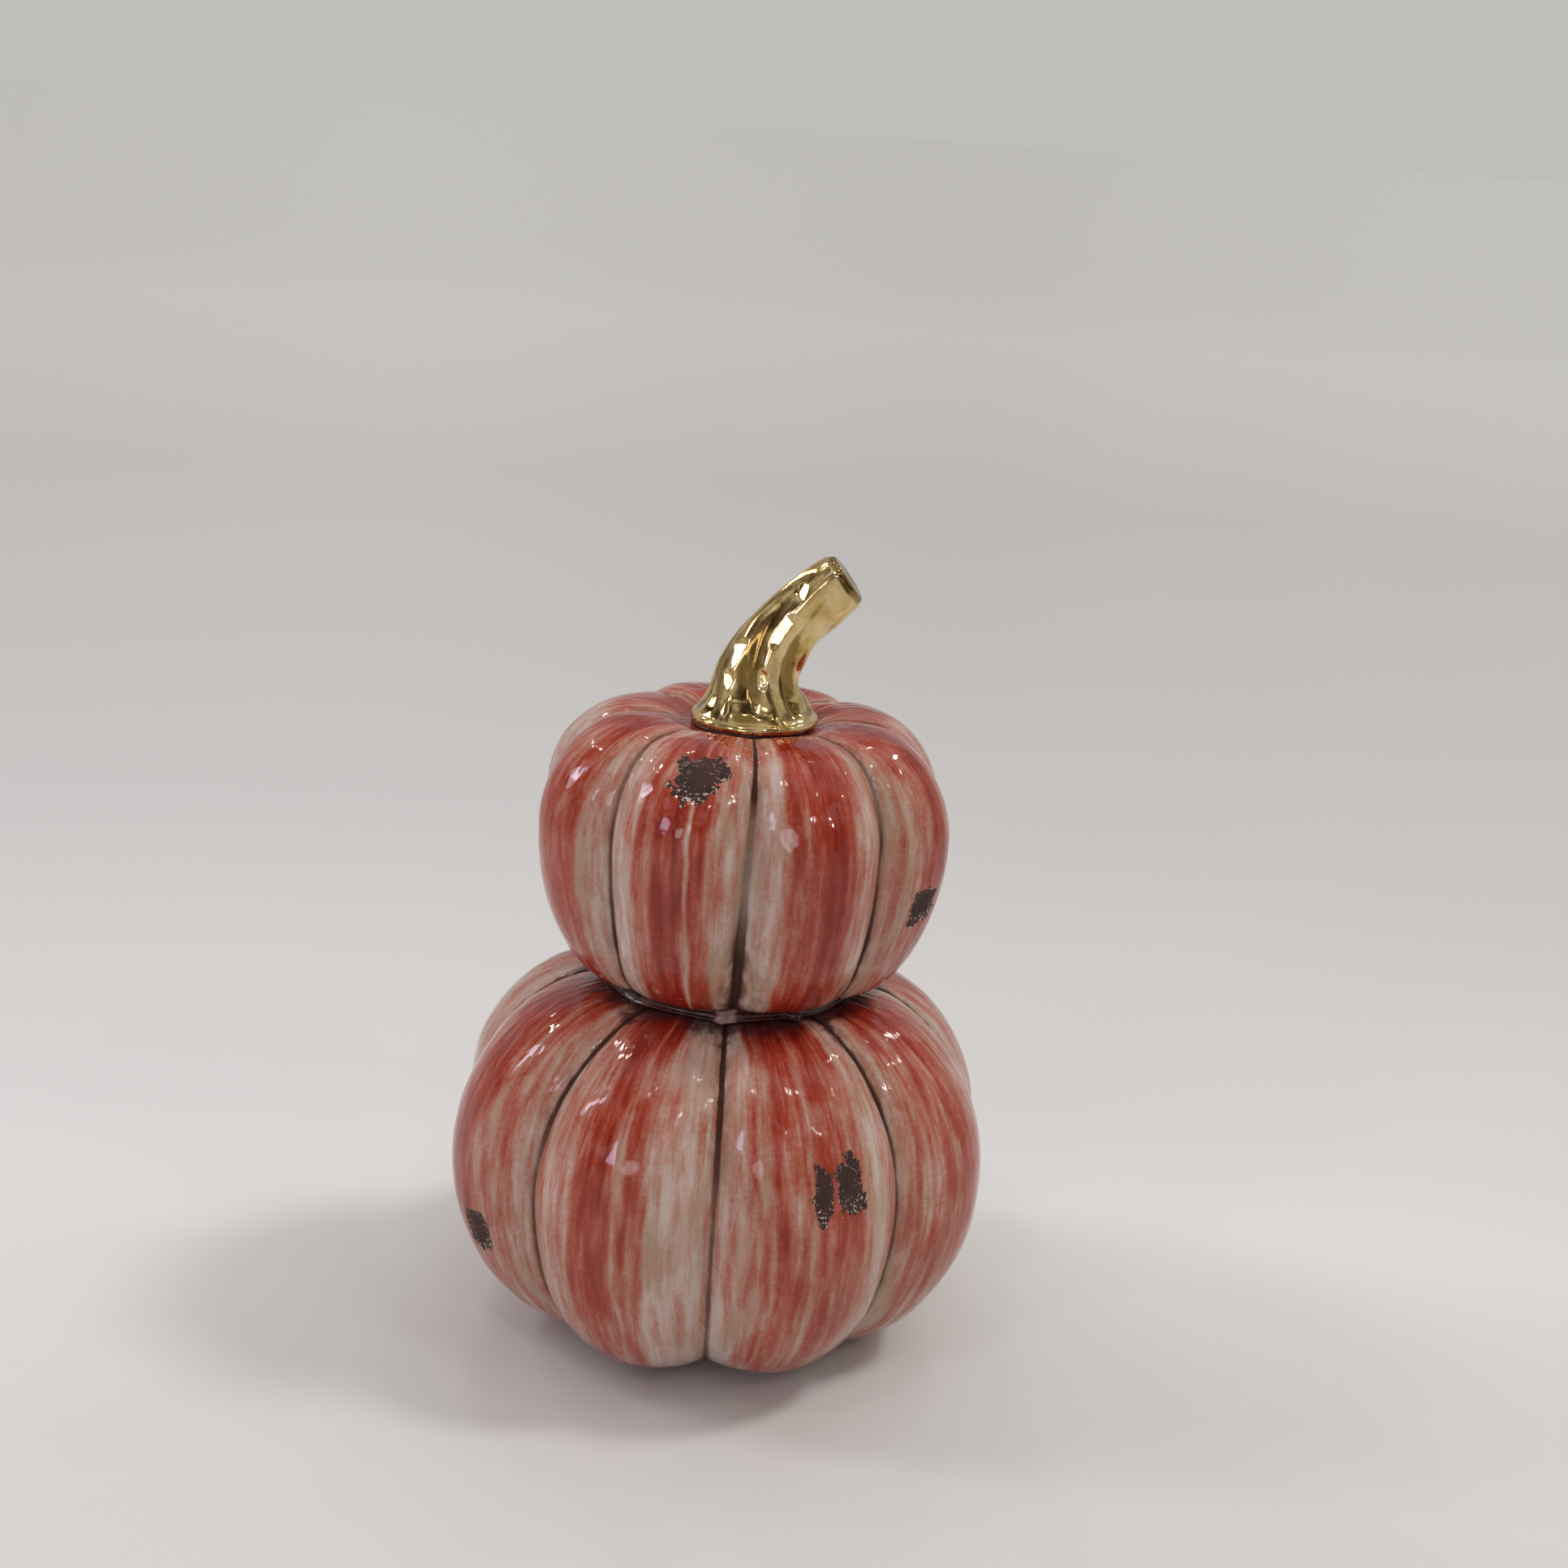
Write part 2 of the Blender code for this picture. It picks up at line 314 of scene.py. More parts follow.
def ring_faces(rows, columns, first=0):
    """Quads between rows of points that each run all the way round."""
    row, column = np.meshgrid(np.arange(rows - 1), np.arange(columns), indexing="ij")
    after = (column + 1) % columns
    here, below = first + row * columns, first + (row + 1) * columns
    quads = np.stack([here + column, below + column, below + after, here + after], axis=-1)
    return quads.reshape(-1, 4).tolist()


def loop_faces(rows, columns):
    """Quads of a ring-shaped piece, whose last row joins its first."""
    last = (rows - 1) * columns
    seam = [[last + i, i, (i + 1) % columns, last + (i + 1) % columns] for i in range(columns)]
    return ring_faces(rows, columns) + seam


def capped_faces(rows, columns):
    """Quads between rows, and a flat face at each end."""
    last = (rows - 1) * columns
    return ring_faces(rows, columns) + [list(range(columns)), list(range(last, last + columns))]


def circle(count):
    """Azimuths all the way round, and the level unit vectors towards them."""
    azimuth = np.linspace(-pi, pi, count, endpoint=False)
    return azimuth, np.stack([np.sin(azimuth), -np.cos(azimuth), np.zeros_like(azimuth)], axis=-1)


def add_piece(name, places, faces, material, stands_for, attributes=None):
    """Makes a smooth-shaded mesh object that rides on the figure and stands for a CAD node."""
    mesh = bpy.data.meshes.new(name)
    mesh.from_pydata(places.reshape(-1, 3).tolist(), [], faces)
    for key, values in (attributes or {}).items():
        kind, part = ("FLOAT", "value") if values.ndim == 1 else ("FLOAT_VECTOR", "vector")
        mesh.attributes.new(key, kind, "POINT").data.foreach_set(part, values.astype(np.float32).ravel())
    solid = bmesh.new()
    solid.from_mesh(mesh)
    bmesh.ops.recalc_face_normals(solid, faces=solid.faces[:])
    if solid.calc_volume(signed=True) < 0:
        bmesh.ops.reverse_faces(solid, faces=solid.faces[:])
    solid.to_mesh(mesh)
    solid.free()
    mesh.shade_smooth()
    mesh.materials.append(material)
    thing = bpy.data.objects.new(name, mesh)
    bpy.context.scene.collection.objects.link(thing)
    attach(thing, "root")
    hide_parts(stands_for)


def lower_sway(azimuth, angle):
    """How far the front side grooves of the lower pumpkin lean in towards the joint."""
    reach = np.where(azimuth < 0, radians(7.5), radians(4.0))
    lean = -reach * np.sin(2 * azimuth) * (np.abs(azimuth) < pi / 2)
    return lean * smooth(angle, radians(0), radians(88))


def upper_sway(azimuth, angle):
    """How far the front groove of the upper pumpkin leans."""
    return radians(1.4) * np.sin(angle) * bell(azimuth, radians(26))


def skin_rows(pumpkin):
    """(radius, z, angle) of the crest for each row, from the top opening to the bottom one."""
    if pumpkin is LOWER:
        first, head, tail = LOWER.angle_at(SEAT_RADIUS, 1), (), DRAIN_ROWS
    else:
        first, head, tail = DIMPLE_ANGLE, DIMPLE_ROWS, COLLAR_ROWS
    angles = np.linspace(first, -DIMPLE_ANGLE, round((first + DIMPLE_ANGLE) / ROW_ANGLE))
    rows = [(*point, first) for point in head]
    rows += zip(*pumpkin.crest(angles), angles)
    rows += [(*point, -DIMPLE_ANGLE) for point in tail]
    return np.array(rows)


def column_azimuths():
    """Azimuths of a skin's columns, closer together in the grooves."""
    share = np.arange(COLUMNS) / COLUMNS
    share = share - CROWDING * np.sin(tau * share) / tau
    lobes = np.arange(LOBES)[:, None] + share[None, :]
    azimuths = lobes.ravel() * tau / LOBES
    return np.where(azimuths > pi, azimuths - tau, azimuths)


def outward(places):
    """Unit normals of a grid of points whose columns run all the way round."""
    around = np.roll(places, -1, axis=1) - np.roll(places, 1, axis=1)
    down = np.gradient(places, axis=0)
    normals = np.cross(down, around)
    return normals / np.maximum(np.linalg.norm(normals, axis=-1, keepdims=True), 1e-12)


def skin_depth(pumpkin, plain, world, angle, groove, seed):
    """How deep the unevenness, the cut grooves and the chips lie under the plain skin."""
    exposed = smooth(np.abs(np.cos(angle / 2)), 0.62, 0.70)
    lumps = waves(plain.reshape(-1, 3), LUMP_LENGTH, seed).reshape(groove.shape)
    ripples = waves(plain.reshape(-1, 3) * (1, 1, 0.35), RIPPLE_LENGTH, seed + 1).reshape(groove.shape)
    depth = (LUMP * (1.2 + lumps) * 0.5 + RIPPLE * (1 + ripples)) * exposed + SKIN_INSET
    depth += GROOVE_CUT * bell(groove, GROOVE_CUT_WIDTH) * exposed
    for chip in pumpkin.chips:
        across = (np.degrees(world) - chip.azimuth) / chip.across
        along = (np.degrees(angle) - chip.angle) / chip.along
        depth += CHIP_DEPTH * (1 - smooth(np.hypot(across, along), 0.75, 1.1))
    return depth


def shell_faces(rows, columns, inner_rows):
    """Faces of a fine outer skin, a coarse inner one and the seam between them at each end."""
    inner_columns = columns // INNER_COLUMN
    start = rows * columns
    faces = ring_faces(rows, columns) + ring_faces(inner_rows, inner_columns, start)
    for outer_row, inner_row in ((0, 0), (rows - 1, inner_rows - 1)):
        back = start + inner_row * inner_columns
        for i in range(inner_columns):
            arc = [outer_row * columns + (i * INNER_COLUMN + j) % columns for j in range(INNER_COLUMN + 1)]
            faces.append(arc + [back + (i + 1) % inner_columns, back + i])
    return faces


def make_skin(name, pumpkin, sway, material, seed):
    """A pumpkin: its detailed outer skin, and a plain inner one that closes it into a shell."""
    rows = skin_rows(pumpkin)
    azimuth, angle = np.meshgrid(column_azimuths(), rows[:, 2])
    radius, z = pumpkin.press(rows[:, 0:1], rows[:, 1:2], azimuth)
    world = azimuth + sway(azimuth, angle) + pumpkin.turn
    plain = np.stack([radius * np.sin(world) + pumpkin.x, -radius * np.cos(world), z], axis=-1)
    normals = outward(plain)
    lobe = tau / LOBES
    groove = np.abs((azimuth + lobe / 2) % lobe - lobe / 2) * radius
    outer = plain - normals * skin_depth(pumpkin, plain, world, angle, groove, seed)[..., None]
    outer[..., 2] = np.maximum(outer[..., 2], pumpkin.foot)
    inner = plain - normals * pumpkin.wall
    skin = np.stack([np.sin(world), np.cos(world), angle], axis=-1)
    picked = sorted(set(range(0, len(rows), INNER_ROW)) | {len(rows) - 1})

    def joined(outside, inside):
        """Values of the outer skin's points, and then of the points picked for the inner one."""
        size = outside.shape[2:]
        chosen = inside[picked][:, ::INNER_COLUMN]
        return np.concatenate([outside.reshape(-1, *size), chosen.reshape(-1, *size)])

    faces = shell_faces(*azimuth.shape, len(picked))
    attributes = {"skin": joined(skin, skin), "groove": joined(groove, groove) / MM}
    add_piece(name + "_glazed", joined(outer, inner), faces, material, name, attributes)


def slip_edge(azimuth, way):
    """Radius of the slip's edge: where the gap between the pumpkins is as wide as the slip stands there."""
    lobe = tau / LOBES
    wobble = waves(way * 0.033, 0.009, 31)
    grooves = bell((azimuth + lobe / 2) % lobe - lobe / 2, radians(5))
    right = bell(azimuth - radians(34), radians(16))
    bridge = bell(azimuth + radians(1), radians(4.2), 4)
    wanted = (0.80 + 0.40 * wobble + 0.5 * grooves + 0.5 * right + 1.2 * bridge) * MM
    radii = np.linspace(*SLIP_EDGE, 88)
    x, y = way[:, 0:1] * radii, way[:, 1:2] * radii
    closed = UPPER.height_at(x, y, -1) - LOWER.height_at(x, y, 1) < wanted[:, None]
    last = np.where(closed.any(axis=1), closed.shape[1] - 1 - closed[:, ::-1].argmax(axis=1), 0)
    edge = radii[last]
    for _ in range(3):
        edge = (np.roll(edge, 1) + edge * 2 + np.roll(edge, -1)) / 4
    return edge


def make_slip(material):
    """Slip that fills the crease between the pumpkins, with a concave edge that clings to both skins."""
    azimuth, way = circle(SLIP_COLUMNS)
    edge = slip_edge(azimuth, way)
    rows = []
    for share in np.linspace(0, 1, 9):
        radius = edge + SLIP_HOLLOW * (2 * share - 1) ** 2
        x, y = way[:, 0] * radius, way[:, 1] * radius
        low, high = LOWER.height_at(x, y, 1) - SLIP_SINK, UPPER.height_at(x, y, -1) + SLIP_SINK
        rows.append(np.stack([x, y, low + (high - low) * share], axis=-1))
    for top, shares in ((True, np.linspace(0.9, 0, 7)), (False, np.linspace(0, 0.9, 7))):
        for share in shares:
            radius = SLIP_INNER_RADIUS + (edge - SLIP_INNER_RADIUS) * share
            x, y = way[:, 0] * radius, way[:, 1] * radius
            if top:
                z = UPPER.height_at(x, y, -1) + SLIP_SINK * share
            else:
                z = np.minimum(LOWER.height_at(x, y, 1), UPPER.height_at(x, y, -1) - 0.1 * MM)
            rows.append(np.stack([x, y, z], axis=-1))
    faces = loop_faces(len(rows), SLIP_COLUMNS)
    attributes = {"front": np.degrees(np.tile(azimuth, len(rows)))}
    add_piece("joint_slip_pooled", np.array(rows), faces, material, "joint_slip", attributes)


def stem_radius(along):
    """Radius of the stem at a distance along its centre line."""
    flare = (FLANGE_RADIUS - STEM_END_RADIUS - STEM_SWELL) * np.exp(-along / FLARE_LENGTH)
    return STEM_END_RADIUS + STEM_SWELL * bell(along, SWELL_LENGTH, 1.3) + flare


def stem_lean(along):
    """How far the stem leans from upright at a distance along its centre line."""
    return STEM_MAX_LEAN * (1 - np.exp(-np.maximum(along - STEM_BEND_START, 0.0) / STEM_BEND_LENGTH))


# Flat spots on the stem: (x, y, z), azimuth and elevation they face, depth of the cut, reach
FACETS = (
    ((0.0060, -0.0078, 0.1674), -10, 15, 0.00062, 0.0052),
    ((-0.0021, -0.0066, 0.1610), -48, 27, 0.00030, 0.0040),
    ((-0.0049, -0.0068, 0.1545), -48, 25, 0.00042, 0.0036),
    ((0.0116, -0.0058, 0.1755), -46, 28, 0.00016, 0.0028),
    ((0.0028, -0.0094, 0.1560), -12, 13, 0.00030, 0.0026),
)


def flatten(places, spot, azimuth, elevation, depth, reach):
    """Points with a flat facet cut into them near a spot, and how far inside the facet each one is."""
    way = np.array(way_to(azimuth, elevation))
    offset = places - spot
    above = np.maximum(offset @ way + depth, 0)
    near = 1 - smooth(np.linalg.norm(offset, axis=-1), reach * 0.6, reach)
    return places - way * (above * near)[..., None], near * (above > 0)


def stem_profile():
    """Radius and distance along the centre line for each row, from the dished end to the peg."""
    shoulder = STEM_LENGTH - END_ROUNDING
    rows = []
    for share in np.linspace(0.02, 1, 14)[:-1]:
        rows.append((STEM_END_RADIUS * DISH_SHARE * share, STEM_LENGTH - DISH_DEPTH * (1 - share**2)))
    for turned in np.linspace(0, pi / 2, 10)[:-1]:
        radius = STEM_END_RADIUS * (DISH_SHARE + (1 - DISH_SHARE) * sin(turned))
        rows.append((radius, shoulder + END_ROUNDING * cos(turned)))
    rows += [(stem_radius(along), along) for along in np.linspace(shoulder, FLANGE_RIM, STEM_ROWS)]
    rim = stem_radius(FLANGE_RIM)
    for turned in np.linspace(0, pi, 10)[1:]:
        along = (FLANGE_RIM - FLANGE_DROP) / 2 + (FLANGE_RIM + FLANGE_DROP) / 2 * cos(turned)
        rows.append((rim + FLANGE_RIM * 0.45 * sin(turned), along))
    rows += [(rim * 0.8, -FLANGE_DROP), (PEG_RADIUS, -FLANGE_DROP)]
    rows += [(PEG_RADIUS * share, -PEG_LENGTH) for share in (0.98, 0.5, 0.02)]
    return np.array(rows).T


def stem_relief(along, turned):
    """The share of the radius that flutes, furrows and dents leave, and where the gold gets painted shade: in
    its hollows, and as a painted dark reflection on the rounding of its end.
    """
    spin = turned + FLUTE_TWIST * along / STEM_LENGTH
    flute = (1 - np.cos(FLUTES * spin)) / 2
    share = np.clip(along / FLANGE_RIM / 4, 0, 1)
    foot = band(along, 0.0008, 0.0035, 0.010, 0.022)
    furrow = np.sin(9 * turned + 1.8 * np.sin(2 * turned) + 0.5 + 60 * along)
    furrow = np.sign(furrow) * np.abs(furrow) ** 1.4
    around = np.stack([np.cos(spin) * 0.010, np.sin(spin) * 0.010, along * 0.42], axis=-1).reshape(-1, 3)
    dents = waves(around, 0.0100, 51, 16).reshape(spin.shape)
    small = waves(around, 0.0040, 52, 18).reshape(spin.shape)
    pits = FURROW * foot * (1 - furrow) + PIT * foot * (1 + small)
    scale = 1 - FLUTE_DEPTH * share * flute - pits - share * (DENT * (1 + dents) + SMALL_DENT * (1 + small))
    middle = band(along, 0.005, 0.010, 0.020, 0.027)
    seams = smooth(along, 0.010, 0.016) * flute**7
    apron = band(along, 0.0012, 0.0020, 0.0026, 0.0040)
    hollow = np.clip(pits / 0.09 + middle * flute * 0.84 - 0.10 + 0.5 * apron + 0.62 * seams, 0, 1)
    # Painted dark reflection on the end's rounding, carried along with the painted shade of the hollows.
    tip = smooth(along, STEM_LENGTH - 0.0026, STEM_LENGTH - 0.0010)
    return scale, np.maximum(hollow, 0.9 * tip)


def bend_stem(across, depth, along):
    """Places of the upright stem's points after its centre line has bent."""
    position = np.linspace(0, STEM_LENGTH, BEND_STEPS + 1)
    lean = stem_lean(position[:-1])
    step = STEM_LENGTH / BEND_STEPS
    line_x = np.concatenate([[0], np.cumsum(np.sin(lean) * step)])
    line_z = np.concatenate([[0], np.cumsum(np.cos(lean) * step)])
    above = along > 0
    lean = np.where(above, stem_lean(along), 0)
    x = np.where(above, np.interp(along, position, line_x), 0) + across * np.cos(lean)
    z = np.where(above, np.interp(along, position, line_z), along) - across * np.sin(lean)
    return np.stack([x + STEM_X, depth, z + STEM_BASE_Z], axis=-1)


def make_stem(material):
    """The leaning gilded stem: twisting flutes, a furrowed foot on its flange and a dished, rounded end."""
    radius, along = stem_profile()
    turned, along = np.meshgrid(np.linspace(0, tau, STEM_COLUMNS, endpoint=False), along)
    scale, hollow = stem_relief(along, turned)
    reach = radius[:, None] * scale
    places = bend_stem(reach * np.cos(turned), reach * np.sin(turned), along)
    for facet in FACETS:
        places, inside = flatten(places, *facet)
        hollow = hollow * (1 - inside)
    faces = capped_faces(len(radius), STEM_COLUMNS)
    # The hollow attribute tells where the gold gets painted shade and the painted dark reflection at the end.
    add_piece("stem_gilded", places, faces, material, "stem", {"hollow": hollow.ravel()})


def make_adhesive(material):
    """The dark bead squeezed out from under the stem's flange, nearly black so that it also paints the shade
    line under the flange.
    """
    way = circle(BEAD_COLUMNS)[1]
    outer = BEAD_RADIUS + BEAD_WOBBLE * waves(way * 0.015, 0.0075, 61)
    low, high = DIMPLE_FLOOR_Z - 0.00005, STEM_BASE_Z - FLANGE_DROP - 0.00004
    outline = [(BEAD_INNER_RADIUS, low + 0.0002), (BEAD_INNER_RADIUS, high)]
    outline += [(0.0112, high + 0.00005), (0.0136, high)]
    for turned in np.linspace(radians(70), radians(-25), 8):
        z = low + 0.0003 + (high - low) * 0.9 * max(sin(turned), -0.3)
        outline.append((outer - 0.0006 + 0.0009 * cos(turned), z))
    outline.append((0.0110, low + 0.0001))
    rows = []
    for radius, z in outline:
        rows.append(np.stack([way[:, 0] * radius + BEAD_X, way[:, 1] * radius, way[:, 2] + z], axis=-1))
    faces = loop_faces(len(rows), BEAD_COLUMNS)
    add_piece("adhesive_bead", np.array(rows), faces, material, "stem_adhesive")


def make_pad(name, material, seed):
    """A punched felt disc with a soft, slightly fuzzy edge."""
    low, high = (Vector(corner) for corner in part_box(name))
    flat, thickness = (high.x - low.x) / 2 - PAD_EDGE, high.z - low.z
    outline = [(share * flat, 0.0) for share in np.linspace(0.02, 1, 12)]
    for turned in np.linspace(0, pi / 2, 5)[1:]:
        outline.append((flat + PAD_EDGE * sin(turned), PAD_EDGE - PAD_EDGE * cos(turned)))
    outline += [(reach, thickness - z) for reach, z in outline[::-1]]
    turned = np.linspace(0, tau, PAD_COLUMNS, endpoint=False)
    way = np.stack([np.cos(turned), np.sin(turned), np.zeros_like(turned)], axis=-1)
    places = np.array([way * reach + (0, 0, z) for reach, z in outline])
    fuzz = waves(places.reshape(-1, 3), 0.0011, seed, 24).reshape(places.shape[:2])
    inward = np.minimum(fuzz - 1.5, 0) * PAD_FUZZ
    upper = places[..., 2] > thickness / 2
    places += inward[..., None] * way
    places[..., 2] += np.where(upper, inward, 0)
    places += np.array((low + high) / 2) - (0, 0, thickness / 2)
    faces = capped_faces(len(outline), PAD_COLUMNS)
    add_piece(name + "_felt", places, faces, material, name)


# ---------------------------------------------------------------- materials


class Graph:
    """A material's or world's nodes, with a short call for each kind that is used."""

    def __init__(self, owner):
        owner.use_nodes = True
        self.owner = owner
        self.tree = owner.node_tree

    def feed(self, socket, value):
        """Links a socket to another, or sets its value."""
        if isinstance(value, bpy.types.NodeSocket):
            self.tree.links.new(value, socket)
        else:
            socket.default_value = value

    def add(self, kind, *values, **settings):
        """Adds a node, sets its properties and feeds its first sockets."""
        node = self.tree.nodes.new("ShaderNode" + kind)
        for key, value in settings.items():
            setattr(node, key, value)
        for socket, value in zip(node.inputs, values):
            self.feed(socket, value)
        return node

    def shade(self, inputs):
        """Feeds the Principled shader's inputs, and returns the finished material."""
        shader = self.tree.nodes["Principled BSDF"]
        for key, value in inputs.items():
            self.feed(shader.inputs[key], value)
        return self.owner

    def attribute(self, name):
        """A number that the mesh holds for each point."""
        return self.add("Attribute", attribute_name=name).outputs["Fac"]

    def object_place(self):
        return self.add("TexCoord").outputs["Object"]

    def math(self, operation, *values):
        return self.add("Math", *values, operation=operation).outputs[0]

    def fold(self, operation, values):
        """Applies an operation of two numbers along a row of sockets and numbers."""
        return reduce(lambda first, second: self.math(operation, first, second), values)

    def total(self, *values):
        return self.fold("ADD", values)

    def times(self, *values):
        return self.fold("MULTIPLY", values)

    def largest(self, *values):
        return self.fold("MAXIMUM", values)

    def swing(self, noise, amount):
        """A noise about its middle, times an amount."""
        return self.times(self.total(noise, -0.5), amount)

    def step(self, value, low, high, start=0.0, end=1.0):
        """Smooth step from start at low to end at high."""
        node = self.add("MapRange", value, low, high, start, end, interpolation_type="SMOOTHSTEP")
        return node.outputs[0]

    def mix(self, factor, a, b, blend="MIX"):
        """Mix of two colours."""
        node = self.add("Mix", data_type="RGBA", blend_type=blend, clamp_factor=True)
        for index, value in ((0, factor), (6, a), (7, b)):
            self.feed(node.inputs[index], (*value, 1.0) if isinstance(value, tuple) else value)
        return node.outputs[2]

    def between(self, factor, a, b):
        """Mix of two numbers."""
        node = self.add("Mix", data_type="FLOAT", clamp_factor=True)
        for index, value in ((0, factor), (2, a), (3, b)):
            self.feed(node.inputs[index], value)
        return node.outputs[0]

    def noise(self, vector, scale, detail=2.0, roughness=0.5, distortion=0.0):
        node = self.add("TexNoise")
        for key, value in (
            ("Vector", vector),
            ("Scale", scale),
            ("Detail", detail),
            ("Roughness", roughness),
            ("Distortion", distortion),
        ):
            self.feed(node.inputs[key], value)
        return node.outputs[0]

    def scaled(self, vector, size, shift=(0.0, 0.0, 0.0)):
        """A vector times a size, plus a shift."""
        return self.add("VectorMath", vector, size, shift, operation="MULTIPLY_ADD").outputs[0]

    def length(self, vector):
        return self.add("VectorMath", vector, operation="LENGTH").outputs["Value"]

    def facing(self, vector, azimuth, elevation):
        """How far a unit vector points towards an azimuth and elevation."""
        node = self.add("VectorMath", vector, tuple(way_to(azimuth, elevation)), operation="DOT_PRODUCT")
        return node.outputs["Value"]

    def ramp(self, value, stops):
        """Ramp through (position, colour or grey) stops."""
        node = self.add("ValToRGB", value)
        elements = node.color_ramp.elements
        while len(elements) > 1:
            elements.remove(elements[-1])
        for index, (position, color) in enumerate(stops):
            element = elements[0] if index == 0 else elements.new(position)
            element.position = position
            element.color = (*color, 1.0) if isinstance(color, tuple) else (color, color, color, 1.0)
        return node.outputs[0]

    def bump(self, height, strength, distance, normal=None):
        node = self.add("Bump")
        node.inputs["Strength"].default_value = strength
        node.inputs["Distance"].default_value = distance
        self.feed(node.inputs["Height"], height)
        if normal is not None:
            self.feed(node.inputs["Normal"], normal)
        return node.outputs[0]


class Glaze(Graph):
    """A pumpkin's glaze, with the sockets and noises that its layers share."""

    def __init__(self, name, pumpkin, seed):
        super().__init__(bpy.data.materials.new(name))
        self.pumpkin = pumpkin
        self.seed = seed
        self.skin = self.add("Attribute", attribute_name="skin").outputs["Vector"]
        parts = self.add("SeparateXYZ", self.skin).outputs
        self.azimuth = self.times(self.math("ARCTAN2", parts[0], parts[1]), 180 / pi)
        self.angle = self.times(parts[2], 180 / pi)
        self.place = self.object_place()
        self.fine = self.streaks(1.15, 17, (0, 0, seed), 3.0, 0.6)
        self.mottle = self.noise(self.place, 1050.0, 3.0, 0.65)
        self.patch = self.noise(self.place, 150.0, 2.0, 0.5)
        self.blots = self.noise(self.scaled(self.place, (340.0, 340.0, 150.0)), 1.0, 3.0, 0.6)

    def streaks(self, width, length, shift, detail=2.0, roughness=0.5):
        """Noise drawn out down the lobes, in streaks of this width and length in millimetres."""
        size = self.pumpkin.radius / MM
        stretch = (size / width, size / width, size / length)
        return self.noise(self.scaled(self.skin, stretch, shift), 1.0, detail, roughness)


RAMP_STOPS = 30  # in one ramp: a node holds 32 at most


def layered_load(graph, azimuth, layout):
    """How much red the brush left at an azimuth in degrees, through a layout of (azimuth, load) points."""
    points = sorted(layout)
    points = [(-180.0, points[0][1])] + points + [(180.0, points[0][1])]
    result = None
    for first in range(0, len(points) - 1, RAMP_STOPS - 1):
        part = points[first : first + RAMP_STOPS]
        start, end = part[0][0], part[-1][0]
        share = graph.add("MapRange", azimuth, start, end, 0.0, 1.0).outputs[0]
        stops = [((place - start) / (end - start), load) for place, load in part]
        value = graph.ramp(share, stops)
        if result is None:
            result = value
        else:
            result = graph.between(graph.math("GREATER_THAN", azimuth, start), result, value)
    return result


# How much red the brush left, as (azimuth in degrees, load) points. The visible half follows the photo. On
# the lower pumpkin the loads from -82 to -48 degrees are set higher as painted shade and painted dark
# reflection on its left side.
UPPER_LOADS = (
    (-80, 0.60), (-72, 0.78), (-68, 0.80), (-64, 0.55), (-60, 0.70), (-55, 0.78), (-52, 0.42), (-48, 0.18),
    (-44, 0.20), (-37, 0.06), (-33, 0.10), (-30, 0.30), (-28, 0.60), (-25, 0.50), (-22, 0.85), (-17, 0.95),
    (-15.2, 0.85), (-14, 0.22), (-12.8, 0.85), (-10, 0.85), (-8, 0.45), (-6, 0.22), (-2, 0.20), (1, 0.16),
    (4, 0.06), (11, 0.06), (12.5, 0.35), (14, 0.68), (17, 0.78), (20.5, 0.60), (23, 0.95), (28, 1.0),
    (30.5, 0.80), (32, 0.45), (37, 0.30), (44, 0.25), (48, 0.22), (54, 0.28), (58, 0.38), (61, 0.60),
    (66, 0.85), (74, 0.70), (80, 0.45), (87, 0.65), (92, 0.25), (98, 0.10), (104, 0.35), (108, 0.80),
    (116, 0.95), (119, 0.50), (123, 0.85), (128, 0.45), (133, 0.20), (138, 0.12), (144, 0.25), (149, 0.70),
    (155, 0.90), (159, 0.55), (163, 0.85), (170, 0.35), (176, 0.15), (-176, 0.15), (-170, 0.20),
    (-165, 0.65), (-160, 0.95), (-155, 0.85), (-152, 0.40), (-148, 0.75), (-143, 0.35), (-136, 0.12),
    (-130, 0.22), (-124, 0.60), (-118, 0.90), (-113, 0.55), (-108, 0.85), (-101, 0.30), (-93, 0.15),
    (-88, 0.20),
)
